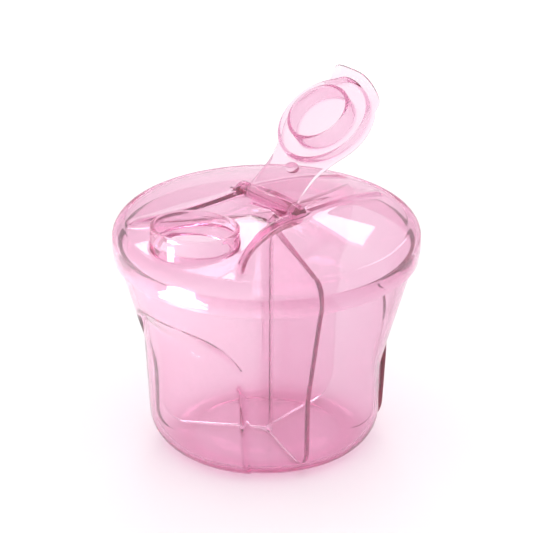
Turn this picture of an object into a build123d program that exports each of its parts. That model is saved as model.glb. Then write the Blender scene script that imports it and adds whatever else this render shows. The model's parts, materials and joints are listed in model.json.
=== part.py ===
from build123d import *
from math import cos, radians, sin
import os

# Formula dispenser: a cup with a three-way divider, a turning lid with a spout, and a flip cap
# that closes the spout.  Millimetres, +Z up.  The origin is the centre of the cup's base, the
# spout points to -Y and the flip cap's hinge runs along X.  The flip cap is modelled standing
# open against its stop.

os.makedirs("parts", exist_ok=True)

# Cup, turned about Z
FOOT_RADIUS = 41.3          # side wall carried down to the base plane
WAIST_RADIUS = 41.7         # narrowest part of the side wall
WAIST_HEIGHT = 31.0         # where the wall starts to flare
COLLAR_RADIUS = 53.85       # outside of the straight collar that carries the lid
COLLAR_HEIGHT = 73.0        # foot of the collar, level with the lid's lower edge
COLLAR_RISE = 6.0           # cup's rim above the foot of the collar
CUP_WALL = 1.8
CUP_FLOOR = 2.2
FOOT_ROUND = 11.5           # round between the side wall and the base
WAIST_ROUND = 45.0          # round where the wall starts to flare
RIM_ROUNDNESS = 0.3         # round of the rim's edges as a share of the wall

# Grip panels, one at the front and one at the back of the cup
PANEL_WIDTH = 52.0
PANEL_FOOT_RADIUS = 42.4    # panel surface carried down to the base plane
PANEL_TOP_RADIUS = 45.7     # panel surface at the foot of the ledge
LEDGE_DROP = 19.0           # foot of the sloping ledge over the panel, below the collar's foot
LEDGE_RUN = 10.0            # ledge measured outwards
LEDGE_RISE = 15.0           # ledge measured upwards
ARCH_SPRING_DROP = 29.0     # where the straight sides turn into the arch, below the collar's foot
ARCH_TOP_DROP = 11.5

# Divider
DIVIDER_WALL = 2.0
HUB_RADIUS = 2.2
DIVIDER_TURN = -20.0        # direction of the first wall about Z
DIVIDER_TOP_GAP = 0.7       # wall top on the axis, below the channel floor's underside
DIVIDER_EDGE_GAP = 1.6      # wall top near the cup's wall, below the lid's underside at the rim
DIVIDER_SHOULDER = 3.0      # bevel at the outer top corner
DIVIDER_GAP = 0.35          # free space between divider and cup wall

# Lid, heights measured from its lower edge unless the name says otherwise
LID_GAP = 0.35              # running fit between lid skirt and cup collar
SKIRT_WALL = 1.8
LID_WALL = 1.6
EDGE_BAND = 3.2             # slightly smaller band round the lower edge
EDGE_STEP = 0.5
SHOULDER_HEIGHT = 7.5       # top of the upright skirt
RIM_HEIGHT = 12.6           # crease between shoulder and dome
RIM_INSET = 5.0             # shoulder measured inwards
DOME_RISE = 0.4             # middle of the two side lobes, if they met, above the hinge axis
DOME_BULGE = 1.4            # rise of the dome over the straight cone at mid radius
SPINE_RISE = 1.8            # raised spine behind the hinge, at the axis, above the hinge axis
SPINE_RIM_WIDTH = 15.4      # width of the spine where it meets the rim
CHANNEL_DROP = 3.5          # floor of the front channel, at the axis, below the hinge axis
CHANNEL_MOUTH = 61.0        # width of the front channel at the rim
CHANNEL_START = 3.0         # how far in front of the hinge the channel starts to widen
CHANNEL_SPLAY = 48.65       # degrees, the channel's edge at the rim against straight ahead

# Spout
SPOUT_MARGIN = 1.0          # spout's outside to the lid's rim crease
SPOUT_HEIGHT = 21.0         # rim above the lid's lower edge
SPOUT_RADIUS = 16.0         # outside
SPOUT_WALL = 1.4
SPOUT_LEAN = 4.0            # degrees, towards the hinge
THROAT_DEPTH = 7.0          # depth of the wide bore below the rim
THROAT_LEDGE = 1.9          # ledge between the wide bore and the narrow one under it

# Hinge
HINGE_BACK = 1.5            # behind the lid's axis
HINGE_DROP = 0.6            # hinge axis below the spout's rim
HINGE_WIDTH = 24.4          # between the two ears
EAR_WIDTH = 3.2
EAR_RADIUS = 2.9
BARREL_RADIUS = 2.3
TRUNNION_RADIUS = 1.3
TRUNNION_GAP = 0.08         # radial running fit in the ears
TRUNNION_END_GAP = 0.4      # end of each trunnion to the end of its socket
SIDE_GAP = 0.4              # strap to ear, each side
SWING_GAP = 0.35            # free space round whatever swings

# Flip cap
OPEN_ANGLE = 140.0          # from closed on the spout to resting on the spine
CAP_WALL = 1.5
STRAP_FLARE = 12.0          # how far from the hinge the strap starts to widen
DISC_MARGIN = 0.4           # disc beyond the outer ring
TAB_LENGTH = 2.4            # tip of the thumb tab beyond the disc
TAB_WIDTH = 27.0
TAB_ROUNDNESS = 0.4         # corner round of the tab as a share of its width
TAB_DROP = 9.0              # how far the tab's tip bends down, starting over the spout's edge
TAB_TIP_LEAN = 11.3         # degrees, direction of the tip against straight down
PLUG_GAP = 0.5              # free space round the ring that goes into the throat
PLUG_WALL = 1.3
PLUG_DEPTH = 8.0
SKIRT_RING_GAP = 1.0        # outer ring round the spout's rim
SKIRT_RING_WALL = 1.2
SKIRT_RING_DEPTH = 3.6
SEAL_GAP = 0.35             # cap plate above the spout's rim when closed
LATCH_BUTTON_RADIUS = 2.4   # low oval button under the strap
LATCH_BUTTON_HEIGHT = 0.8

# Sizes that follow from the ones above
CUP_HEIGHT = COLLAR_HEIGHT + COLLAR_RISE
LEDGE_HEIGHT = COLLAR_HEIGHT - LEDGE_DROP
ARCH_SPRING = COLLAR_HEIGHT - ARCH_SPRING_DROP
ARCH_TOP = COLLAR_HEIGHT - ARCH_TOP_DROP
SKIRT_RADIUS = COLLAR_RADIUS + LID_GAP
LID_RADIUS = SKIRT_RADIUS + SKIRT_WALL
RIM_RADIUS = LID_RADIUS - RIM_INSET
LID_EDGE = COLLAR_HEIGHT
RIM_Z = LID_EDGE + RIM_HEIGHT
SHOULDER_Z = LID_EDGE + SHOULDER_HEIGHT
SPOUT_Z = LID_EDGE + SPOUT_HEIGHT
HINGE_Z = SPOUT_Z - HINGE_DROP
DOME_Z = HINGE_Z + DOME_RISE
SPINE_Z = HINGE_Z + SPINE_RISE
CHANNEL_Z = HINGE_Z - CHANNEL_DROP
DIVIDER_TOP = CHANNEL_Z - LID_WALL - DIVIDER_TOP_GAP
DIVIDER_EDGE_TOP = RIM_Z - LID_WALL - DIVIDER_EDGE_GAP
STRAP_WIDTH = HINGE_WIDTH - 2 * SIDE_GAP
SPOUT_REACH = RIM_RADIUS - SPOUT_RADIUS - SPOUT_MARGIN
SPOUT_BORE = SPOUT_RADIUS - SPOUT_WALL
THROAT_RADIUS = SPOUT_BORE - THROAT_LEDGE
DISC_REACH = SPOUT_REACH + HINGE_BACK
PLUG_RADIUS = THROAT_RADIUS - PLUG_GAP
RING_INSIDE = SPOUT_RADIUS + SKIRT_RING_GAP
RING_OUTSIDE = RING_INSIDE + SKIRT_RING_WALL
DISC_RADIUS = RING_OUTSIDE + DISC_MARGIN
TAB_REACH = DISC_RADIUS + TAB_LENGTH

# Frames: the spout's rim, and the flip cap's own frame, whose Y runs from hinge to tab
open_sin = sin(radians(OPEN_ANGLE))
open_cos = cos(radians(OPEN_ANGLE))
lean_sin = sin(radians(SPOUT_LEAN))
lean_cos = cos(radians(SPOUT_LEAN))
tip_sin = sin(radians(TAB_TIP_LEAN))
tip_cos = cos(radians(TAB_TIP_LEAN))
rim_plane = Plane(origin=(0, -SPOUT_REACH, SPOUT_Z), x_dir=(1, 0, 0), z_dir=(0, lean_sin, lean_cos))
cap_plane = Plane(origin=(0, HINGE_BACK, HINGE_Z), x_dir=(-1, 0, 0), z_dir=(0, open_sin, open_cos))
hinge_plane = Plane(origin=(0, HINGE_BACK, HINGE_Z), x_dir=(0, 1, 0), z_dir=(1, 0, 0))


def cup_outline(inset, floor, foot_round):
    """Half section of the cup's side wall, moved inwards by inset and standing on floor."""
    foot = (FOOT_RADIUS - inset, floor)
    waist = (WAIST_RADIUS - inset, WAIST_HEIGHT)
    collar = (COLLAR_RADIUS - inset, COLLAR_HEIGHT)
    with BuildSketch(Plane.XZ) as section:
        with BuildLine():
            Polyline((0, floor), foot, waist, collar, (collar[0], CUP_HEIGHT), (0, CUP_HEIGHT), close=True)
        make_face()
        fillet(section.vertices().sort_by_distance(foot)[0], foot_round)
        fillet(section.vertices().sort_by_distance(waist)[0], WAIST_ROUND)
    return section.sketch


def panel_outline(inset):
    """Half section of the grip panels and the ledge over them, moved inwards by inset."""
    foot = (PANEL_FOOT_RADIUS - inset, 0)
    top = (PANEL_TOP_RADIUS - inset, LEDGE_HEIGHT)
    ledge_end = (top[0] + LEDGE_RUN, LEDGE_HEIGHT + LEDGE_RISE)
    with BuildSketch(Plane.XZ) as section:
        with BuildLine():
            Polyline((0, 0), foot, top, ledge_end, (0, ledge_end[1]), close=True)
        make_face()
        fillet(section.vertices().sort_by_distance(foot)[0], FOOT_ROUND - inset)
    return section.sketch


def arch_window(growth):
    """Outline of a grip panel seen from the front, grown on all sides."""
    half = PANEL_WIDTH / 2 + growth
    with BuildSketch(Plane.XZ) as window:
        with BuildLine():
            Polyline((-half, ARCH_SPRING), (-half, -FOOT_ROUND), (half, -FOOT_ROUND), (half, ARCH_SPRING))
            EllipticalCenterArc((0, ARCH_SPRING), half, ARCH_TOP + growth - ARCH_SPRING, arc_size=180)
        make_face()
    return window.sketch


def grip_pockets(inset):
    """What the two arched panels cut off the flare, as a wall moved inwards by inset feels it."""
    with BuildPart() as pockets:
        extrude(arch_window(inset), amount=LID_RADIUS, both=True)
        Box(LID_RADIUS * 2, WAIST_RADIUS, CUP_HEIGHT * 3, mode=Mode.SUBTRACT)
        revolve(panel_outline(inset), axis=Axis.Z, mode=Mode.SUBTRACT)
    return pockets.part


# The panels stand a little proud of the waist
with BuildPart() as panels:
    extrude(arch_window(0), amount=LID_RADIUS, both=True)
    Box(LID_RADIUS * 2, WAIST_RADIUS, CUP_HEIGHT * 3, mode=Mode.SUBTRACT)
    revolve(panel_outline(0), axis=Axis.Z, mode=Mode.INTERSECT)

with BuildPart() as cup_room:
    revolve(cup_outline(CUP_WALL, CUP_FLOOR, FOOT_ROUND - CUP_WALL), axis=Axis.Z)
    add(grip_pockets(CUP_WALL), mode=Mode.SUBTRACT)

with BuildPart() as cup:
    revolve(cup_outline(0, 0, FOOT_ROUND), axis=Axis.Z)
    add(grip_pockets(0), mode=Mode.SUBTRACT)
    add(panels.part)
    add(cup_room.part, mode=Mode.SUBTRACT)
    cup_rim = cup.faces().sort_by(Axis.Z)[-1]
    fillet(cup_rim.edges(), CUP_WALL * RIM_ROUNDNESS)

cup.part.label = "cup"
export_step(cup.part, "parts/cup.step")


# The divider: a hub and three walls that follow the inside of the cup
with BuildPart() as divider_space:
    edge_radius = COLLAR_RADIUS - CUP_WALL - DIVIDER_GAP
    revolve(cup_outline(CUP_WALL + DIVIDER_GAP, CUP_FLOOR, FOOT_ROUND - CUP_WALL), axis=Axis.Z)
    add(grip_pockets(CUP_WALL + DIVIDER_GAP), mode=Mode.SUBTRACT)
    with BuildSketch(Plane.XZ) as divider_top:
        with BuildLine():
            Polyline(
                (0, COLLAR_HEIGHT),
                (0, DIVIDER_TOP),
                (edge_radius - DIVIDER_SHOULDER, DIVIDER_EDGE_TOP),
                (edge_radius, DIVIDER_EDGE_TOP - DIVIDER_SHOULDER),
                (edge_radius, COLLAR_HEIGHT),
                close=True,
            )
        make_face()
    revolve(axis=Axis.Z)

with BuildPart() as divider:
    with BuildSketch(Plane.XY) as walls:
        Circle(HUB_RADIUS)
        with PolarLocations(COLLAR_RADIUS / 2, 3, start_angle=DIVIDER_TURN):
            Rectangle(COLLAR_RADIUS, DIVIDER_WALL)
    extrude(amount=DIVIDER_TOP)
    add(divider_space.part, mode=Mode.INTERSECT)

divider.part.label = "divider"
export_step(divider.part, "parts/divider.step")


def lid_outline(side, inset):
    """Half section of the lid: a skirt with its face at side, shoulder and dome moved inwards by inset."""
    rim = RIM_RADIUS - inset
    rim_z = RIM_Z - inset
    dome_z = DOME_Z - inset
    with BuildSketch(Plane.XZ) as section:
        with BuildLine():
            Polyline((0, dome_z), (0, LID_EDGE), (side, LID_EDGE), (side, SHOULDER_Z))
            EllipticalCenterArc((rim, SHOULDER_Z), side - rim, rim_z - SHOULDER_Z, arc_size=90)
            ThreePointArc((rim, rim_z), (rim / 2, (rim_z + dome_z) / 2 + DOME_BULGE), (0, dome_z))
        make_face()
    return section.sketch


def channel_plan(growth):
    """Plan of the channel that runs from the hinge to the front of the rim."""
    half = HINGE_WIDTH / 2 + growth
    mouth = CHANNEL_MOUTH / 2 + growth
    mouth_y = -(RIM_RADIUS**2 - (CHANNEL_MOUTH / 2) ** 2) ** 0.5
    start_y = HINGE_BACK - CHANNEL_START
    back_y = HINGE_BACK + BARREL_RADIUS + SWING_GAP + growth
    splay = radians(CHANNEL_SPLAY)
    with BuildSketch(Plane.XY) as plan:
        with BuildLine():
            Spline((half, start_y), (mouth, mouth_y), tangents=((0, -1), (sin(splay), -cos(splay))))
            Line((half, back_y), (half, start_y))
            Polyline((mouth, mouth_y), (mouth, -LID_RADIUS), (0, -LID_RADIUS))
            Line((0, back_y), (half, back_y))
            mirror(about=Plane.YZ)
        make_face()
    return plan.sketch


def channel_floor(inset):
    """Half section of everything above the channel's floor, which is a shallow cone."""
    with BuildSketch(Plane.XZ) as section:
        with BuildLine():
            Polyline(
                (0, CHANNEL_Z - inset),
                (RIM_RADIUS, RIM_Z - inset),
                (LID_RADIUS, RIM_Z - inset),
                (LID_RADIUS, SPINE_Z * 2),
                (0, SPINE_Z * 2),
                close=True,
            )
        make_face()
    return section.sketch


# The channel cut out of the dome, and the same cut as the inside of the lid feels it
with BuildPart() as channel:
    revolve(channel_floor(0), axis=Axis.Z)
    extrude(channel_plan(0), amount=SPINE_Z * 2, mode=Mode.INTERSECT)

with BuildPart() as channel_inside:
    revolve(channel_floor(LID_WALL), axis=Axis.Z)
    extrude(channel_plan(LID_WALL), amount=SPINE_Z * 2, mode=Mode.INTERSECT)

# The room inside the lid
with BuildPart() as lid_room:
    revolve(lid_outline(SKIRT_RADIUS, LID_WALL), axis=Axis.Z)
    add(channel_inside.part, mode=Mode.SUBTRACT)

# The spine: a raised tongue from the hinge to the back of the rim
with BuildPart() as spine:
    with BuildSketch(Plane.XY.offset(SHOULDER_Z)) as spine_plan:
        with BuildLine():
            Polyline(
                (-HINGE_WIDTH / 2 - EAR_WIDTH, HINGE_BACK),
                (HINGE_WIDTH / 2 + EAR_WIDTH, HINGE_BACK),
                (SPINE_RIM_WIDTH / 2, RIM_RADIUS),
                (-SPINE_RIM_WIDTH / 2, RIM_RADIUS),
                close=True,
            )
        make_face()
    extrude(amount=SPINE_Z)
    with BuildSketch(Plane.XZ) as spine_section:
        with BuildLine():
            Polyline((0, SPINE_Z), (0, SHOULDER_Z), (RIM_RADIUS, SHOULDER_Z), (RIM_RADIUS, RIM_Z))
            ThreePointArc(
                (RIM_RADIUS, RIM_Z),
                (RIM_RADIUS / 2, (RIM_Z + SPINE_Z) / 2 + DOME_BULGE),
                (0, SPINE_Z),
            )
        make_face()
    revolve(axis=Axis.Z, mode=Mode.INTERSECT)

# What the strap and its barrel sweep: the barrel's seat and the sloping stop of the spine
with BuildPart() as strap_space:
    with BuildSketch(Plane.YZ) as swing:
        stop_line = BARREL_RADIUS + SWING_GAP
        stop_foot = (HINGE_BACK + stop_line * open_sin, HINGE_Z + stop_line * open_cos)
        stop_top = (stop_foot[0] - 2 * SPOUT_REACH * open_cos, stop_foot[1] + 2 * SPOUT_REACH * open_sin)
        with BuildLine():
            Polyline(
                (HINGE_BACK, HINGE_Z),
                stop_foot,
                stop_top,
                (HINGE_BACK - stop_line, stop_top[1]),
                (HINGE_BACK - stop_line, HINGE_Z),
                close=True,
            )
        make_face()
        with Locations((HINGE_BACK, HINGE_Z)):
            Circle(stop_line)
    extrude(amount=HINGE_WIDTH / 2, both=True)

with BuildPart() as lid:
    revolve(lid_outline(LID_RADIUS, 0), axis=Axis.Z)
    with BuildSketch(Plane.XY.offset(LID_EDGE)) as edge_band:
        Circle(LID_RADIUS)
        Circle(LID_RADIUS - EDGE_STEP, mode=Mode.SUBTRACT)
    extrude(amount=EDGE_BAND, mode=Mode.SUBTRACT)
    add(spine.part)
    add(channel.part, mode=Mode.SUBTRACT)
    # spout, and the ears that hold the hinge
    with BuildSketch(rim_plane) as spout_outside:
        Circle(SPOUT_RADIUS)
    extrude(amount=RIM_HEIGHT - SPOUT_HEIGHT - LID_WALL)
    for side in (-1, 1):
        with BuildSketch(hinge_plane.offset(side * HINGE_WIDTH / 2)) as ear:
            Circle(EAR_RADIUS)
            with Locations((0, -EAR_RADIUS)):
                Rectangle(2 * EAR_RADIUS, 2 * EAR_RADIUS)
        extrude(amount=side * EAR_WIDTH)
    add(lid_room.part, mode=Mode.SUBTRACT)
    add(strap_space.part, mode=Mode.SUBTRACT)
    # bores of the spout and sockets of the hinge
    with BuildSketch(rim_plane) as bore:
        Circle(SPOUT_BORE)
    extrude(amount=-THROAT_DEPTH, mode=Mode.SUBTRACT)
    with BuildSketch(rim_plane) as throat:
        Circle(THROAT_RADIUS)
    extrude(amount=-SPOUT_HEIGHT, mode=Mode.SUBTRACT)
    with BuildSketch(hinge_plane) as sockets:
        Circle(TRUNNION_RADIUS + TRUNNION_GAP)
    extrude(amount=HINGE_WIDTH / 2 + EAR_WIDTH, both=True, mode=Mode.SUBTRACT)

lid.part.label = "lid"
export_step(lid.part, "parts/lid.step")


# Flip cap, in its own frame: Y runs from the hinge to the tab, Z is the side that faces up when closed
disc_lift = SPOUT_Z - HINGE_Z
disc_angle = radians(OPEN_ANGLE + SPOUT_LEAN)
disc_origin = cap_plane.from_local_coords((0, DISC_REACH, disc_lift))
disc_plane = Plane(origin=disc_origin, x_dir=(-1, 0, 0), z_dir=(0, sin(disc_angle), cos(disc_angle)))
side_plane = Plane(origin=cap_plane.origin, x_dir=(0, -open_cos, open_sin), z_dir=(-1, 0, 0))


def plate_height(reach):
    """Height of the middle of the cap's plate over the hinge axis, at a distance from it."""
    return disc_lift + SEAL_GAP + CAP_WALL / 2 + (reach - DISC_REACH) * lean_sin / lean_cos


with BuildPart() as cap_plan:
    with BuildSketch(cap_plane) as cap_outline:
        half = STRAP_WIDTH / 2
        with BuildLine():
            Spline((half, STRAP_FLARE), (DISC_RADIUS, DISC_REACH), tangents=((0, 1), (0, 1)))
            Polyline((0, 0), (half, 0), (half, STRAP_FLARE))
            Line((DISC_RADIUS, DISC_REACH), (0, DISC_REACH))
            mirror(about=Plane.YZ)
        make_face()
        with Locations((0, DISC_REACH)):
            Circle(DISC_RADIUS)
        with Locations((0, DISC_REACH)):
            tab = Rectangle(TAB_WIDTH, TAB_REACH, align=(Align.CENTER, Align.MIN), mode=Mode.PRIVATE)
            add(fillet(tab.vertices().group_by(Axis.Y)[-1], TAB_WIDTH * TAB_ROUNDNESS))
    extrude(amount=DISC_REACH, both=True)

with BuildPart() as flip_cap:
    # the plate, bent down at the thumb tab
    with BuildSketch(side_plane):
        with BuildLine():
            bend = (DISC_REACH + SPOUT_RADIUS, plate_height(DISC_REACH + SPOUT_RADIUS))
            tip = (DISC_REACH + TAB_REACH - CAP_WALL / 2, bend[1] - TAB_DROP)
            flat = Line((0, plate_height(0)), bend)
            Spline(bend, tip, tangents=(flat % 1, (tip_sin, -tip_cos)))
        trace(line_width=CAP_WALL)
    extrude(amount=DISC_REACH, both=True)
    add(cap_plan.part, mode=Mode.INTERSECT)
    # barrel and trunnions of the hinge
    with BuildSketch(hinge_plane):
        Circle(BARREL_RADIUS)
    extrude(amount=STRAP_WIDTH / 2, both=True)
    with BuildSketch(hinge_plane):
        Circle(TRUNNION_RADIUS)
    extrude(amount=HINGE_WIDTH / 2 + EAR_WIDTH - TRUNNION_END_GAP, both=True)
    # rings under the plate: the plug for the throat and the skirt round the spout
    with BuildSketch(disc_plane.offset(SEAL_GAP + CAP_WALL / 2)):
        Circle(PLUG_RADIUS)
        Circle(PLUG_RADIUS - PLUG_WALL, mode=Mode.SUBTRACT)
    extrude(amount=-PLUG_DEPTH - CAP_WALL / 2)
    with BuildSketch(disc_plane.offset(SEAL_GAP + CAP_WALL / 2)):
        Circle(RING_OUTSIDE)
        Circle(RING_INSIDE, mode=Mode.SUBTRACT)
    extrude(amount=-SKIRT_RING_DEPTH - CAP_WALL / 2)
    # latch button under the strap
    with BuildSketch(disc_plane.offset(SEAL_GAP + CAP_WALL / 2)):
        with Locations((0, -RING_OUTSIDE - LATCH_BUTTON_RADIUS)):
            Circle(LATCH_BUTTON_RADIUS)
    extrude(amount=-LATCH_BUTTON_HEIGHT - CAP_WALL / 2)

flip_cap.part.label = "flip_cap"
export_step(flip_cap.part, "parts/flip_cap.step")
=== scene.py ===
import json
import math

import bmesh
import bpy
import numpy as np
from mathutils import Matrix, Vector


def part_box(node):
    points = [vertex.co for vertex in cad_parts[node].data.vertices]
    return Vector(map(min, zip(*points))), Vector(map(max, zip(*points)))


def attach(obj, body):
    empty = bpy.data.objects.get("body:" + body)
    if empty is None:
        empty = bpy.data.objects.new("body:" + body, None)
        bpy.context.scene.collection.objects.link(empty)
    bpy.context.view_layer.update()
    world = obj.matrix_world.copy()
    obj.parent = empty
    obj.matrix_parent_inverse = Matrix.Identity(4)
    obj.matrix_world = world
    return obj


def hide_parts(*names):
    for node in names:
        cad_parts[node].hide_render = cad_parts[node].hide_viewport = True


# Formula dispenser: cup, divider, lid and flip cap as smooth walls of translucent plastic.
# Shapes are worked out in millimetres in the frame's own axes and made in metres.

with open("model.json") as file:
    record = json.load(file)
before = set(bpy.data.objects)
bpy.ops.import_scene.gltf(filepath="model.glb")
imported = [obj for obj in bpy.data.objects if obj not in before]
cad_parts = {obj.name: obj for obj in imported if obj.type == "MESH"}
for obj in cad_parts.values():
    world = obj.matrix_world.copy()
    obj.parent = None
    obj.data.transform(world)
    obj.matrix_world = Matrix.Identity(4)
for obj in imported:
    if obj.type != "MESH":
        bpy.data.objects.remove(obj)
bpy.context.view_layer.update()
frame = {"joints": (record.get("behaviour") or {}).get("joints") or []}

MM = 0.001
TURN = 2 * math.pi


def node_box(name):
    """Lowest and highest corner of a CAD node, in millimetres."""
    low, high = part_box(name)
    return np.array(low) / MM, np.array(high) / MM


cup_high = node_box("cup")[1]
divider_high = node_box("divider")[1]
lid_low, lid_high = node_box("lid")
hinge = next(j for j in frame["joints"] if j["name"] == "flip_hinge")
HINGE_Y, HINGE_Z = (v / MM for v in hinge["pos_m"][1:])
OPEN = math.radians(hinge["range_deg"][1])

# Cup
COLLAR = cup_high[0]        # radius of the collar
RIM = cup_high[2]
LID_EDGE = lid_low[2]
CUP_WALL = 1.8
CUP_FLOOR = 2.2
FOOT_ROUND = 11.5
FOOT = COLLAR - 12.55       # radius of the side wall at the base
WAIST = COLLAR - 12.15
WAIST_Z = 31.0
WAIST_SOFTNESS = 0.6
RIM_ROUND = 0.6
BASE_RECESS = 0.7           # shallow hollow under the base

# Grip panels
PANEL_FOOT = COLLAR - 11.45
PANEL_TOP = COLLAR - 8.15
LEDGE_Z = LID_EDGE - 19.0
LEDGE_SLOPE = 10.0 / 15.0
PANEL_HALF = 26.0
ARCH_SPRING = LID_EDGE - 29.0
ARCH_TOP = LID_EDGE - 11.5
PANEL_EDGE = 1.4            # width of the soft step round a panel
CROWDED_REACH = 3.0         # how far from a panel's edge the mesh is finer
CROWDING = 3.0              # how much finer it is there
WALL_STEP = 1.1             # height of a mesh row on the plain wall
ARCH_STEP = 0.45            # and beside the arches

# Divider
DIVIDER_HALF = 1.0
DIVIDER_TURN = math.radians(-20.0)
DIVIDER_GAP = 0.35
DIVIDER_TOP = divider_high[2]
DIVIDER_FOOT = CUP_FLOOR + 0.08     # a hair over the cup's floor, so that the faces don't coincide
DIVIDER_EDGE_TOP = DIVIDER_TOP - 5.2
DIVIDER_SHOULDER = 3.0
HUB_ROUND = 2.4

# Lid, heights above its lower edge
LID = lid_high[0]           # outer radius
LID_WALL = 1.6
SKIRT_BORE = COLLAR + 0.35
BAND = 3.2
BAND_STEP = 0.5
SHOULDER = 7.5
CREASE = 12.6
CREASE_INSET = 5.0
DOME = 20.8
DOME_BULGE = 1.4
SPINE = 22.2
SPINE_HALF = 12.4
SPINE_RIM_HALF = 7.7
FLOOR = 16.9                # floor of the channel on the axis
CHANNEL_HALF = 12.2
CHANNEL_MOUTH_HALF = 30.5
CHANNEL_SPLAY = math.radians(48.65)
RIDGE_LIP = 0.95            # raised edge that runs along spine and channel

# Spout
SPOUT_RADIUS = 16.0
SPOUT_WALL = 1.4
SPOUT_MARGIN = 1.0
SPOUT_HEIGHT = 21.0
SPOUT_LEAN = math.radians(4.0)
THROAT_DEPTH = 7.0
THROAT_RADIUS = 12.7
GROOVE_DEPTH = 1.9          # fine line round the outside, below the rim
ROOT_ROUND = 0.8

# Hinge
EAR_IN = 12.2
EAR_OUT = 15.4
EAR_ROUND = 2.9
BARREL = 2.3
TRUNNION = 1.3
SWING_GAP = 0.35

# Flip cap, in its own frame: u across, v from the hinge to the tab, w towards its upper side
STRAP_HALF = 11.8
STRAP_FLARE = 12.0
PLATE_WALL = 1.5
DISC = 18.6
TAB_HALF = 15.0
TAB_POWER = 3.8             # squareness of the tab's leaf shape
TAB_BEND = 1.7              # how late the tab bends down
TAB_LENGTH = 2.4
TAB_DROP = 9.0
PLUG = 12.2
PLUG_WALL = 1.3
PLUG_DEPTH = 8.0
RING = 17.0
RING_WALL = 1.2
RING_DEPTH = 3.6
SEAL_GAP = 0.35
BUTTON = 2.4
BUTTON_HEIGHT = 0.8


def smooth(x, low, high):
    """0 below low, 1 above high and a soft step between."""
    t = np.clip((x - low) / (high - low), 0, 1)
    return t * t * (3 - 2 * t)


def soft_max(a, b, width):
    """The larger of a and b, with a round of about width where they cross."""
    return 0.5 * (a + b + np.sqrt((a - b) ** 2 + width**2))


def soft_min(a, b, width):
    """The smaller of a and b, rounded in the same way."""
    return -soft_max(-a, -b, width)


def loops_mesh(name, rows, closed=False, caps=(False, False)):
    """A smooth mesh from rows of closed loops, an array of rows x points x 3 in millimetres.
    closed joins the last row to the first; caps closes the first and last rows with a fan."""
    rows = np.asarray(rows, float)
    count, around, _ = rows.shape
    points = [tuple(p) for p in (rows.reshape(-1, 3) * MM)]
    faces = []
    for j in range(count if closed else count - 1):
        k = (j + 1) % count
        for i in range(around):
            n = (i + 1) % around
            faces.append((j * around + i, j * around + n, k * around + n, k * around + i))
    for cap, row in zip(caps, (0, count - 1)):
        if cap:
            middle = len(points)
            points.append(tuple(rows[row].mean(0) * MM))
            for i in range(around):
                n = (i + 1) % around
                ends = (row * around + i, row * around + n)
                faces.append((middle, *(reversed(ends) if row == 0 else ends)))
    mesh = bpy.data.meshes.new(name)
    mesh.from_pydata(points, [], faces)
    mesh.update()
    mesh.shade_smooth()
    piece = bpy.data.objects.new(name, mesh)
    bpy.context.scene.collection.objects.link(piece)
    return piece


def outward(piece):
    """Turns all faces outwards."""
    work = bmesh.new()
    work.from_mesh(piece.data)
    bmesh.ops.recalc_face_normals(work, faces=work.faces)
    work.to_mesh(piece.data)
    work.free()
    return piece


# ---------------------------------------------------------------- cup

def waisted_radius(z):
    """Side wall between the panels."""
    low = (WAIST - FOOT) / WAIST_Z
    high = (COLLAR - WAIST) / (LID_EDGE - WAIST_Z)
    rise = (high - low) * (z - WAIST_Z)
    flare = WAIST_SOFTNESS * np.log1p(np.exp(np.clip(rise / WAIST_SOFTNESS, -40, 40)))
    return np.minimum(FOOT + low * z + flare, COLLAR)


def panel_radius(z):
    """Grip panel and the ledge over it."""
    wall = PANEL_FOOT + (PANEL_TOP - PANEL_FOOT) * z / LEDGE_Z
    ledge = PANEL_TOP + LEDGE_SLOPE * (z - LEDGE_Z)
    return soft_max(wall, ledge, 0.5)


def panel_mask(angle, z, growth):
    """1 inside a grip panel and 0 outside, soft at its edge; growth widens it all round."""
    x = np.abs(waisted_radius(z) * np.cos(angle))
    facing = np.abs(np.sin(angle)) > 0.5
    arch_rise = ARCH_TOP + growth - ARCH_SPRING
    arch = np.sqrt(np.clip(1 - (np.clip(z - ARCH_SPRING, 0, None) / arch_rise) ** 2, 0, 1))
    side = (PANEL_HALF + growth) * arch - x
    top = ARCH_TOP + growth - z
    inside = np.minimum(side, top)
    return smooth(inside, -PANEL_EDGE / 2, PANEL_EDGE / 2) * facing


def cup_radius(angle, z, inset=0.0):
    """Side wall with its panels, moved inwards by inset, so that the steps keep their wall too."""
    plain, panel = waisted_radius(z), panel_radius(z)
    growth = inset * np.clip(plain - panel, -1, 1)
    mask = panel_mask(angle, z, growth)
    return (1 - mask) * plain + mask * panel - inset


def cup_directions(around):
    """Directions round the cup, closer together where the panels' edges are."""
    even = np.linspace(0, TURN, 4001)
    off_edge = (np.abs(PANEL_TOP * np.cos(even)) - PANEL_HALF) / CROWDED_REACH
    crowding = np.cumsum(1 + CROWDING * np.exp(-(off_edge**2)))
    share = (crowding - crowding[0]) / (crowding[-1] - crowding[0])
    return np.interp(np.arange(around) / around, share, even)


def foot_pull(z, floor, round_):
    """How far the round at the foot pulls the wall in at height z."""
    up = np.clip(z - floor, 0, round_)
    return round_ - np.sqrt(np.clip(round_**2 - (round_ - up) ** 2, 0, None))


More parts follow.
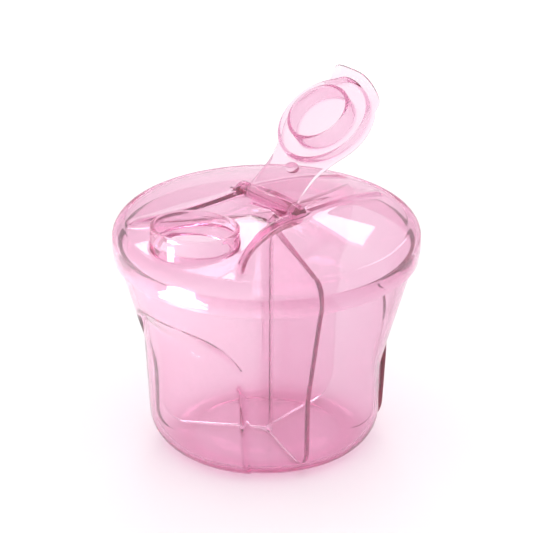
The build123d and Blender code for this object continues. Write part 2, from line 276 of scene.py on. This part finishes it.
def make_cup():
    around = 480
    angle = cup_directions(around)
    wall_heights = np.concatenate([
        np.arange(FOOT_ROUND + 1, ARCH_SPRING, WALL_STEP),
        np.arange(ARCH_SPRING, ARCH_TOP + 2.5, ARCH_STEP),
        np.arange(ARCH_TOP + 3.2, LID_EDGE - 0.5, WALL_STEP),
    ])
    rows = []

    def add(radius, z):
        rows.append(np.stack([radius * np.cos(angle), radius * np.sin(angle), np.full(around, z)], 1))

    def foot_heights(floor, round_, count):
        return floor + round_ * (1 - np.cos(np.linspace(0, math.pi / 2, count)))

    ones = np.ones(around)
    base = FOOT - FOOT_ROUND
    for share in (0.04, 0.5, 0.86):
        add(base * share * ones, BASE_RECESS)
    for share, lift in ((0.92, 0.06), (0.94, 0)):
        add(base * share * ones, lift)
    for z in foot_heights(0, FOOT_ROUND, 14):
        add(cup_radius(angle, z) - foot_pull(z, 0, FOOT_ROUND), z)
    for z in wall_heights:
        add(cup_radius(angle, z), z)
    add(COLLAR * ones, LID_EDGE)
    add(COLLAR * ones, RIM - RIM_ROUND)
    middle = COLLAR - CUP_WALL / 2
    half = CUP_WALL / 2
    for turn in np.linspace(0, math.pi, 9)[1:-1]:
        add((middle + half * math.cos(turn)) * ones, RIM - RIM_ROUND + RIM_ROUND * math.sin(turn))
    add((COLLAR - CUP_WALL) * ones, RIM - RIM_ROUND)
    add((COLLAR - CUP_WALL) * ones, LID_EDGE)
    inner_round = FOOT_ROUND - CUP_WALL
    for z in wall_heights[::-1]:
        add(cup_radius(angle, z, CUP_WALL), z)
    for z in foot_heights(CUP_FLOOR, inner_round, 11)[::-1]:
        add(cup_radius(angle, z, CUP_WALL) - foot_pull(z, CUP_FLOOR, inner_round), z)
    for share in (0.93, 0.7, 0.35, 0.04):
        add(base * share * ones, CUP_FLOOR)
    return outward(loops_mesh("cup_shell", rows, caps=(True, True)))


# ---------------------------------------------------------------- divider

def divider_reach(angle, z):
    """How far a divider wall reaches at height z."""
    inset = CUP_WALL + DIVIDER_GAP
    wall = cup_radius(angle, z, inset) - foot_pull(z, CUP_FLOOR, FOOT_ROUND - CUP_WALL)
    bevel = COLLAR - inset - np.clip(z - (DIVIDER_EDGE_TOP - DIVIDER_SHOULDER), 0, None)
    return np.minimum(wall, bevel)


def make_divider():
    walls = 3
    nose = 8
    outline = []            # (wall, share of the reach, sideways, past the end of the flat faces)
    shares = np.concatenate([np.linspace(0, 0.96, 24), [0.985, 1.0]])
    for w in range(walls):
        for q in shares:
            outline.append((w, q, -1.0, 0.0))
        for k in range(1, nose):
            turn = math.pi * k / nose
            outline.append((w, 1.0, -math.cos(turn), math.sin(turn)))
        for q in shares[::-1]:
            outline.append((w, q, 1.0, 0.0))
    heights = np.concatenate([
        1 - np.cos(np.linspace(0, 0.5, 10)),
        np.linspace(0.14, 0.992, 34),
        [0.997, 1.0],
    ])
    thickness = np.ones(len(heights))
    thickness[-2:] = 0.85, 0.55     # rounded top edge
    rows = []
    for share, thin in zip(heights, thickness):
        loop = []
        for w, q, side, past in outline:
            angle = DIVIDER_TURN + w * TURN / walls
            top = DIVIDER_TOP - (DIVIDER_TOP - DIVIDER_EDGE_TOP) * q
            z = DIVIDER_FOOT + (top - DIVIDER_FOOT) * share
            reach = float(divider_reach(np.array(angle), np.array(z)))
            start = DIVIDER_HALF / math.tan(math.pi / walls) + HUB_ROUND
            r = start + (reach - DIVIDER_HALF - start) * q + DIVIDER_HALF * past
            spread = DIVIDER_HALF * thin
            # near the hub the faces flare out into the round between two walls
            near = max(0.0, 1 - (r - start) / HUB_ROUND)
            spread += HUB_ROUND * 0.35 * near**2
            x = r * math.cos(angle) - side * spread * math.sin(angle)
            y = r * math.sin(angle) + side * spread * math.cos(angle)
            loop.append((x, y, z))
        rows.append(loop)
    return outward(loops_mesh("divider_walls", rows, caps=(True, True)))


# ---------------------------------------------------------------- lid

RIM_CREASE = LID - CREASE_INSET
MOUTH_Y = -math.sqrt(RIM_CREASE**2 - CHANNEL_MOUTH_HALF**2)
CHANNEL_START_Y = HINGE_Y - 3.0


def border_half(y):
    """Half width of the raised border: the spine behind the hinge, the channel in front of it."""
    back = SPINE_HALF + (SPINE_RIM_HALF - SPINE_HALF) * (y - HINGE_Y) / (RIM_CREASE - HINGE_Y)
    length = CHANNEL_START_Y - MOUTH_Y
    t = np.clip((CHANNEL_START_Y - y) / length, 0, 1.3)
    end_slope = math.tan(CHANNEL_SPLAY) * length
    rise = CHANNEL_MOUTH_HALF - CHANNEL_HALF
    front = CHANNEL_HALF + (3 * rise - end_slope) * t**2 + (end_slope - 2 * rise) * t**3
    return np.where(y > HINGE_Y, back, front)


def border_distance(x, y):
    """Distance from the border, positive on the lobes."""
    step = 0.05
    slope = (border_half(y + step) - border_half(y - step)) / (2 * step)
    return (np.abs(x) - border_half(y)) / np.sqrt(1 + slope**2)


def crowned(r, top, bulge):
    """Height at radius r of a surface that falls from top on the axis to the rim crease, with a bulge."""
    t = np.clip(r / RIM_CREASE, 0, 1)
    return top + (CREASE - top) * t + 4 * bulge * t * (1 - t)


def lid_top(x, y, inside=False):
    """Height of the lid's top over its lower edge, or of its underside."""
    r = np.hypot(x, y)
    growth = LID_WALL if inside else 0.0
    lobe = crowned(r, DOME, DOME_BULGE)
    floor = crowned(r, FLOOR, 0.0)
    away = border_distance(x, y) - growth
    stop_y = HINGE_Y + (BARREL + SWING_GAP) * math.sin(OPEN)
    stop_z = HINGE_Z - LID_EDGE + (BARREL + SWING_GAP) * math.cos(OPEN)
    slope = stop_z - (y - stop_y) * math.tan(OPEN)
    if inside:
        back = smooth(y, stop_y + growth + 0.6, stop_y + growth + 2.4)
        middle = floor + (lobe - floor) * back
        return middle + (lobe - middle) * smooth(away, -0.7, 0.9) - LID_WALL
    spine = crowned(r, SPINE, DOME_BULGE)
    back = soft_min(spine, soft_max(floor, slope, 0.5), 0.5)
    middle = np.where(y > stop_y - 1.5, back, floor)
    top = middle + (lobe - middle) * smooth(away, -1.2, 1.4)
    lip = np.exp(-(((away - 2.2) / 2.4) ** 2)) * RIDGE_LIP
    fade = smooth(RIM_CREASE - r, 0.0, 5.0)
    top = top + lip * fade
    # ears of the hinge
    inner_side = smooth(np.abs(x), EAR_IN - 0.5, EAR_IN + 0.25)
    outer_side = smooth(np.abs(x), EAR_OUT - 0.5, EAR_OUT + 2.2)
    across = inner_side * (1 - outer_side)
    along = np.clip(1 - ((y - HINGE_Y) / (EAR_ROUND + 0.5)) ** 2, 0, None)
    ear_rise = lid_high[2] - LID_EDGE - top
    return top + ear_rise * across * np.sqrt(along)


def spout_point(angle, radius, depth):
    """A point on the spout, from its own angle, radius and depth under its rim."""
    reach = RIM_CREASE - SPOUT_RADIUS - SPOUT_MARGIN
    lean_sin, lean_cos = math.sin(SPOUT_LEAN), math.cos(SPOUT_LEAN)
    x = radius * np.cos(angle)
    across = radius * np.sin(angle)
    y = -reach + across * lean_cos - depth * lean_sin
    z = LID_EDGE + SPOUT_HEIGHT - across * lean_sin - depth * lean_cos
    return np.stack([x, y, z], 1)


def make_lid():
    around = 400
    angle = np.arange(around) * TURN / around
    cos, sin = np.cos(angle), np.sin(angle)
    root_y = -(RIM_CREASE - SPOUT_RADIUS - SPOUT_MARGIN) - 0.45
    spread = RIM_CREASE - SPOUT_RADIUS

    def eccentric(share, inner_radius):
        radius = inner_radius + (RIM_CREASE - inner_radius) * share
        return radius * cos, root_y * (1 - share) + radius * sin

    def ring(radius, z):
        return np.stack([radius * cos, radius * sin, np.full(around, LID_EDGE + z)], 1)

    shares = np.concatenate([np.linspace(0, 0.016, 5), np.linspace(0.022, 1, 126)])
    top = []
    for share in shares:
        x, y = eccentric(share, SPOUT_RADIUS)
        z = lid_top(x, y)
        gap = np.clip(np.hypot(x, y - root_y) - SPOUT_RADIUS, 0, ROOT_ROUND)
        z = z + ROOT_ROUND - np.sqrt(ROOT_ROUND**2 - (ROOT_ROUND - gap) ** 2)
        top.append(np.stack([x, y, z + LID_EDGE], 1))
    rows = list(top[::-1])
    # outside of the spout, with a fine line under the rim, then its lip, bore, ledge and throat
    root = top[0]
    line = spout_point(angle, SPOUT_RADIUS, GROOVE_DEPTH + 0.35)
    for share in np.linspace(0, 1, 8)[1:]:
        rows.append(root * (1 - share) + line * share)
    lip_round = 0.45
    for radius, depth in (
        (SPOUT_RADIUS - 0.22, GROOVE_DEPTH + 0.15),
        (SPOUT_RADIUS - 0.28, GROOVE_DEPTH - 0.1),
        (SPOUT_RADIUS - 0.12, GROOVE_DEPTH - 0.4),
        (SPOUT_RADIUS - 0.1, lip_round + 0.25),
    ):
        rows.append(spout_point(angle, radius, depth))
    lip_middle = SPOUT_RADIUS - SPOUT_WALL / 2
    for turn in np.linspace(0, math.pi, 9)[1:]:
        radius = lip_middle + (SPOUT_WALL / 2) * math.cos(turn)
        rows.append(spout_point(angle, radius, lip_round * (1 - math.sin(turn))))
    bore = SPOUT_RADIUS - SPOUT_WALL
    for depth in (2.0, 4.0, THROAT_DEPTH - 0.7, THROAT_DEPTH - 0.2):
        rows.append(spout_point(angle, bore, depth))
    rows.append(spout_point(angle, bore - 0.25, THROAT_DEPTH))
    rows.append(spout_point(angle, THROAT_RADIUS + 0.35, THROAT_DEPTH))
    rows.append(spout_point(angle, THROAT_RADIUS, THROAT_DEPTH + 0.35))
    # underside
    under = []
    for share in np.linspace(0.0, 1, 72):
        x, y = eccentric(share, THROAT_RADIUS)
        radius_in = (RIM_CREASE - LID_WALL * 0.6) / RIM_CREASE
        x, y = x * (1 + (radius_in - 1) * share), y * (1 + (radius_in - 1) * share)
        ledge = SPOUT_HEIGHT - (y - root_y) * math.sin(SPOUT_LEAN) - THROAT_DEPTH - LID_WALL
        near = 1 - smooth(np.hypot(x, y - root_y), THROAT_RADIUS + 1.5, THROAT_RADIUS + 5.0)
        z = lid_top(x, y, inside=True)
        z = z + (np.minimum(z, ledge) - z) * near
        under.append(np.stack([x, y, z + LID_EDGE], 1))
    throat_end = under[0].copy()
    for share in (0.35, 0.7):
        rows.append(rows[-1] * (1 - share) + throat_end * share)
    rows.extend(under)
    # inside of the shoulder and skirt, lower edge, and the outside back up to the crease
    inner_edge = (RIM_CREASE - LID_WALL * 0.6, CREASE - LID_WALL)
    for turn in np.linspace(math.pi / 2, 0, 8)[1:]:
        radius = inner_edge[0] + (SKIRT_BORE - inner_edge[0]) * math.cos(turn)
        rows.append(ring(radius, SHOULDER + (inner_edge[1] - SHOULDER) * math.sin(turn)))
    for z in (5.0, 2.5, 0.4):
        rows.append(ring(SKIRT_BORE, z))
    rows.append(ring(SKIRT_BORE + 0.35, 0.0))
    band = LID - BAND_STEP
    rows.append(ring(band - 0.9, 0.0))
    rows.append(ring(band - 0.35, 0.12))
    rows.append(ring(band, 0.55))
    rows.append(ring(band, BAND - 0.35))
    rows.append(ring(band + 0.05, BAND - 0.12))
    rows.append(ring(band + 0.32, BAND + 0.05))
    rows.append(ring(LID, BAND + 0.4))
    rows.append(ring(LID, (BAND + SHOULDER) / 2))
    for turn in np.linspace(0, math.pi / 2, 14):
        radius = RIM_CREASE + 0.4 + (CREASE_INSET - 0.4) * math.cos(turn)
        rows.append(ring(radius, SHOULDER + (CREASE - SHOULDER) * math.sin(turn)))
    rows.append(ring(RIM_CREASE + 0.12, CREASE - 0.22))
    return outward(loops_mesh("lid_shell", rows, closed=True))


# ---------------------------------------------------------------- flip cap

CAP_V = np.array((0.0, -math.cos(OPEN), math.sin(OPEN)))
CAP_W = np.array((0.0, math.sin(OPEN), math.cos(OPEN)))
SPOUT_REACH = RIM_CREASE - SPOUT_RADIUS - SPOUT_MARGIN
DISC_V = SPOUT_REACH + HINGE_Y
DISC_W = LID_EDGE + SPOUT_HEIGHT - HINGE_Z
TAB_TIP_V = DISC_V + DISC + TAB_LENGTH


def cap_rows(u, v, w):
    """Points of the flip cap's own frame, in the row frame."""
    out = np.zeros((len(u), 3))
    out[:, 0] = u
    out[:, 1] = HINGE_Y
    out[:, 2] = HINGE_Z
    return out + np.outer(v, CAP_V) + np.outer(w, CAP_W)


def plate_height(v):
    """Middle of the plate over the hinge axis, with the bend of the thumb tab."""
    flat = DISC_W + SEAL_GAP + PLATE_WALL / 2 + (v - DISC_V) * math.tan(SPOUT_LEAN)
    bend_start = DISC_V + SPOUT_RADIUS
    t = np.clip((v - bend_start) / (TAB_TIP_V - bend_start), 0, 1)
    return flat - TAB_DROP * t**TAB_BEND


def cap_outline(angle):
    """Distance from the middle of the disc to the edge of the plate, by direction."""
    best = np.full(len(angle), float(DISC))
    du, dv = np.cos(angle), np.sin(angle)
    for i in range(len(angle)):
        if dv[i] < 0:
            # strap: march along the direction until the half width is left
            t = np.linspace(0, DISC_V + 25, 900)
            v = DISC_V + t * dv[i]
            flare = smooth(v, STRAP_FLARE, DISC_V)
            half = STRAP_HALF + (DISC - STRAP_HALF) * flare
            ok = (np.abs(t * du[i]) <= half) & (v >= -BARREL * 0.2)
            best[i] = max(best[i] if dv[i] > -0.02 else 0, t[ok][-1])
        else:
            # a leaf-shaped tab, as a superellipse about the middle of the disc
            sideways = abs(du[i] / TAB_HALF) ** TAB_POWER
            forwards = abs(dv[i] / (TAB_TIP_V - DISC_V)) ** TAB_POWER
            best[i] = max(DISC, (sideways + forwards) ** (-1 / TAB_POWER))
    # soften the corners where disc, strap and tab meet
    kernel = np.array((1, 4, 6, 4, 1)) / 16
    padded = np.concatenate([best[-2:], best, best[:2]])
    return np.convolve(padded, kernel, mode="valid")


def make_flip_cap():
    around = 360
    angle = np.arange(around) * TURN / around
    edge = cap_outline(angle)
    cos, sin = np.cos(angle), np.sin(angle)
    half = PLATE_WALL / 2
    rows = []

    def under(radius, lower=0.0):
        """A loop on the plate's underside, or lower by that much, square to the disc."""
        u, v = radius * cos, DISC_V + radius * sin
        w = plate_height(v) - half
        return cap_rows(u, v + lower * math.sin(SPOUT_LEAN), w - lower * math.cos(SPOUT_LEAN))

    plug_in = PLUG - PLUG_WALL
    for radius in (0.4, 4.0, 8.0, plug_in - 0.5):
        rows.append(under(radius))
    rows.append(under(plug_in - 0.15, 0.1))
    for depth in (0.5, 3.0, 5.5, PLUG_DEPTH - 0.6):
        rows.append(under(plug_in, depth))
    for turn in np.linspace(math.pi, 0, 7)[1:-1]:
        radius = PLUG - PLUG_WALL / 2 + PLUG_WALL / 2 * math.cos(turn)
        rows.append(under(radius, PLUG_DEPTH - 0.6 + 0.6 * math.sin(turn)))
    for depth in (PLUG_DEPTH - 0.6, 5.5, 3.0, 0.5):
        rows.append(under(PLUG, depth))
    rows.append(under(PLUG + 0.15, 0.12))
    rows.append(under(PLUG + 0.5))
    rows.append(under((PLUG + RING) / 2))
    rows.append(under(RING - 0.5))
    rows.append(under(RING - 0.12, 0.12))
    for depth in (0.5, 2.0, RING_DEPTH - 0.55):
        rows.append(under(RING, depth))
    for turn in np.linspace(math.pi, 0, 7)[1:-1]:
        radius = RING + RING_WALL / 2 + RING_WALL / 2 * math.cos(turn)
        rows.append(under(radius, RING_DEPTH - 0.55 + 0.55 * math.sin(turn)))
    ring_out = RING + RING_WALL
    for depth in (RING_DEPTH - 0.55, 2.0, 0.5):
        rows.append(under(ring_out, depth))
    rows.append(under(ring_out + 0.06, 0.12))

    def plate(radius, up):
        u, v = radius * cos, DISC_V + radius * sin
        return cap_rows(u, v, plate_height(v) + up)

    inner = ring_out + 0.12
    outer = np.maximum(edge - 0.5, inner + 0.1)
    for share in np.linspace(0, 1, 26):
        rows.append(plate(inner + (outer - inner) * share, -half))
    for turn in np.linspace(-math.pi / 2, math.pi / 2, 7)[1:-1]:
        rows.append(plate(outer + 0.5 * math.cos(turn), half * math.sin(turn)))
    for share in np.linspace(1, 0.02, 40):
        rows.append(plate(outer * share, half))
    return outward(loops_mesh("flip_cap_plate", rows, caps=(True, True)))


def make_barrel():
    """Barrel and trunnions of the flip cap, one turned shape along X."""
    around = 40
    angle = np.arange(around) * TURN / around
    reach = EAR_OUT - 0.6
    profile = [(-reach, 0.5), (-reach, TRUNNION - 0.2), (-reach + 0.2, TRUNNION), (-STRAP_HALF, TRUNNION)]
    profile += [(-STRAP_HALF, BARREL - 0.3), (-STRAP_HALF + 0.3, BARREL)]
    profile += [(-x, r) for x, r in reversed(profile)]
    rows = [
        np.stack([np.full(around, x), HINGE_Y + r * np.cos(angle), HINGE_Z + r * np.sin(angle)], 1)
        for x, r in profile
    ]
    return outward(loops_mesh("flip_cap_barrel", rows, caps=(True, True)))


def make_button():
    """Low oval button on the strap, beside the ring."""
    around = 40
    angle = np.arange(around) * TURN / around
    middle_v = DISC_V - RING - RING_WALL - BUTTON - 0.3
    top = plate_height(np.array([middle_v]))[0] - PLATE_WALL / 2
    rows = []
    profile = ((1.0, -0.4), (1.0, 0.15), (0.95, 0.4), (0.82, 0.62), (0.6, 0.75), (0.3, BUTTON_HEIGHT))
    for share, lower in profile:
        u, v = share * BUTTON * 1.35 * np.cos(angle), middle_v + share * BUTTON * 0.9 * np.sin(angle)
        rows.append(cap_rows(u, v, np.full(around, top - lower)))
    return outward(loops_mesh("flip_cap_button", rows, caps=(True, True)))


# ---------------------------------------------------------------- material

MILKY_PINK = (0.985, 0.95, 0.968)
PALE_PINK = (0.99, 0.965, 0.978)
ABSORBED_PINK = (0.79, 0.22, 0.53)  # the plastic takes up least red and most green
PLASTIC_IOR = 1.13                  # below the real 1.5, so that slanting light stays longer in a wall
COAT_WEIGHT = 0.35
COAT_IOR = 1.5
COAT_ROUGHNESS = 0.02
RIPPLE_SCALE = 28.0
RIPPLE_DEPTH = 0.0008


def plastic(name, tint, clearness, density, roughness, ripple):
    """Slightly milky pink plastic: it takes up light on its way through, so edges look deeper."""
    mat = bpy.data.materials.new(name)
    mat.use_nodes = True
    nodes, links = mat.node_tree.nodes, mat.node_tree.links
    shader = nodes["Principled BSDF"]
    output = nodes["Material Output"]
    shader.inputs["Base Color"].default_value = (*tint, 1)
    shader.inputs["Transmission Weight"].default_value = clearness
    shader.inputs["IOR"].default_value = PLASTIC_IOR
    shader.inputs["Coat Weight"].default_value = COAT_WEIGHT
    shader.inputs["Coat IOR"].default_value = COAT_IOR
    shader.inputs["Coat Roughness"].default_value = COAT_ROUGHNESS
    shader.inputs["Roughness"].default_value = roughness
    volume = nodes.new("ShaderNodeVolumeAbsorption")
    volume.inputs["Color"].default_value = (*ABSORBED_PINK, 1)
    volume.inputs["Density"].default_value = density
    links.new(volume.outputs["Volume"], output.inputs["Volume"])
    # faint flow ripple of moulded plastic
    coordinates = nodes.new("ShaderNodeTexCoord")
    noise = nodes.new("ShaderNodeTexNoise")
    noise.inputs["Scale"].default_value = RIPPLE_SCALE
    noise.inputs["Detail"].default_value = 2.0
    bump = nodes.new("ShaderNodeBump")
    bump.inputs["Strength"].default_value = ripple
    bump.inputs["Distance"].default_value = RIPPLE_DEPTH
    links.new(coordinates.outputs["Object"], noise.inputs["Vector"])
    links.new(noise.outputs["Fac"], bump.inputs["Height"])
    links.new(bump.outputs["Normal"], shader.inputs["Normal"])
    return mat


def place(piece, body, material):
    """Gives a piece its plastic and the body it rides on."""
    piece.data.materials.append(material)
    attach(piece, body)
    return piece


cup_plastic = plastic("cup_plastic", MILKY_PINK, 0.95, 135.0, 0.05, 0.10)
cup = place(make_cup(), "cup", cup_plastic)
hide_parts("cup")
divider_plastic = plastic("divider_plastic", PALE_PINK, 0.97, 60.0, 0.08, 0.10)
divider = place(make_divider(), "divider", divider_plastic)
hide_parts("divider")
lid_plastic = plastic("lid_plastic", MILKY_PINK, 0.94, 165.0, 0.03, 0.06)
lid = place(make_lid(), "lid", lid_plastic)
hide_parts("lid")
cap_plastic = plastic("flip_cap_plastic", MILKY_PINK, 0.94, 165.0, 0.03, 0.06)
plate = place(make_flip_cap(), "flip_cap", cap_plastic)
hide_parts("flip_cap")
place(make_barrel(), "flip_cap", cap_plastic)
place(make_button(), "flip_cap", cap_plastic)


# ---------------------------------------------------------------- studio

FLOOR_Z = -0.0003           # a hair under the foot, so that the two don't coincide


def make_floor():
    size = 6.0
    mesh = bpy.data.meshes.new("floor")
    corners = [(-size, -size, FLOOR_Z), (size, -size, FLOOR_Z), (size, size, FLOOR_Z), (-size, size, FLOOR_Z)]
    mesh.from_pydata(corners, [], [(0, 1, 2, 3)])
    floor = bpy.data.objects.new("floor", mesh)
    bpy.context.scene.collection.objects.link(floor)
    mat = bpy.data.materials.new("floor_white")
    mat.use_nodes = True
    shader = mat.node_tree.nodes["Principled BSDF"]
    shader.inputs["Base Color"].default_value = (0.93, 0.93, 0.93, 1)
    shader.inputs["Roughness"].default_value = 0.9
    shader.inputs["Specular IOR Level"].default_value = 0.0
    mesh.materials.append(mat)


def direction(azimuth, elevation):
    """Unit vector from the object towards a place in the studio; azimuth 0 is the spout's side."""
    a, e = math.radians(azimuth), math.radians(elevation)
    return Vector((math.sin(a) * math.cos(e), -math.cos(a) * math.cos(e), math.sin(e)))


def softbox(name, azimuth, elevation, distance, width, height, power):
    light = bpy.data.lights.new(name, "AREA")
    light.shape = "RECTANGLE"
    light.size, light.size_y = width, height
    light.energy = power
    lamp = bpy.data.objects.new(name, light)
    towards = direction(azimuth, elevation)
    lamp.location = Vector((0, 0, LID_EDGE * MM)) + towards * distance
    lamp.rotation_mode = "QUATERNION"
    lamp.rotation_quaternion = towards.to_track_quat("Z", "Y")
    bpy.context.scene.collection.objects.link(lamp)


def floor_card(name, azimuth, distance, width, length, power):
    """A bright card that lies on the floor and faces up, for the upright walls to mirror."""
    light = bpy.data.lights.new(name, "AREA")
    light.shape = "RECTANGLE"
    light.size, light.size_y = width, length
    light.energy = power
    card = bpy.data.objects.new(name, light)
    card.location = direction(azimuth, 0) * distance + Vector((0, 0, 0.002))
    card.rotation_euler = (math.pi, 0, math.radians(azimuth))
    bpy.context.scene.collection.objects.link(card)


def make_world():
    world = bpy.data.worlds.new("studio")
    world.use_nodes = True
    world.node_tree.nodes["Background"].inputs["Color"].default_value = (1.0, 0.995, 1.0, 1)
    world.node_tree.nodes["Background"].inputs["Strength"].default_value = 1.12
    bpy.context.scene.world = world


CAMERA_AZIMUTH = 48.0
CAMERA_ELEVATION = 24.9
CAMERA_DISTANCE = 1.2
CAMERA_LENS = 223.0
AIM_BELOW_LID_EDGE = 5.4


def make_camera():
    data = bpy.data.cameras.new("camera")
    data.lens = CAMERA_LENS
    data.clip_start, data.clip_end = 0.01, 20
    camera = bpy.data.objects.new("camera", data)
    towards = direction(CAMERA_AZIMUTH, CAMERA_ELEVATION)
    camera.location = Vector((0, 0, (LID_EDGE - AIM_BELOW_LID_EDGE) * MM)) + towards * CAMERA_DISTANCE
    camera.rotation_mode = "QUATERNION"
    camera.rotation_quaternion = towards.to_track_quat("Z", "Y")
    bpy.context.scene.collection.objects.link(camera)
    bpy.context.scene.camera = camera


make_floor()
make_world()
softbox("back_box", 226, 34, 1.2, 0.55, 0.22, 2.2)
floor_card("left_card", -10, 0.235, 0.085, 0.24, 2.2)
make_camera()
bpy.context.scene.view_settings.view_transform = "Standard"
cycles = bpy.context.scene.cycles
cycles.max_bounces = 40         # light passes many walls of clear plastic
cycles.transmission_bounces = 40
cycles.glossy_bounces = 40
cycles.diffuse_bounces = 8
cycles.caustics_refractive = True
cycles.caustics_reflective = True
cycles.blur_glossy = 0.0
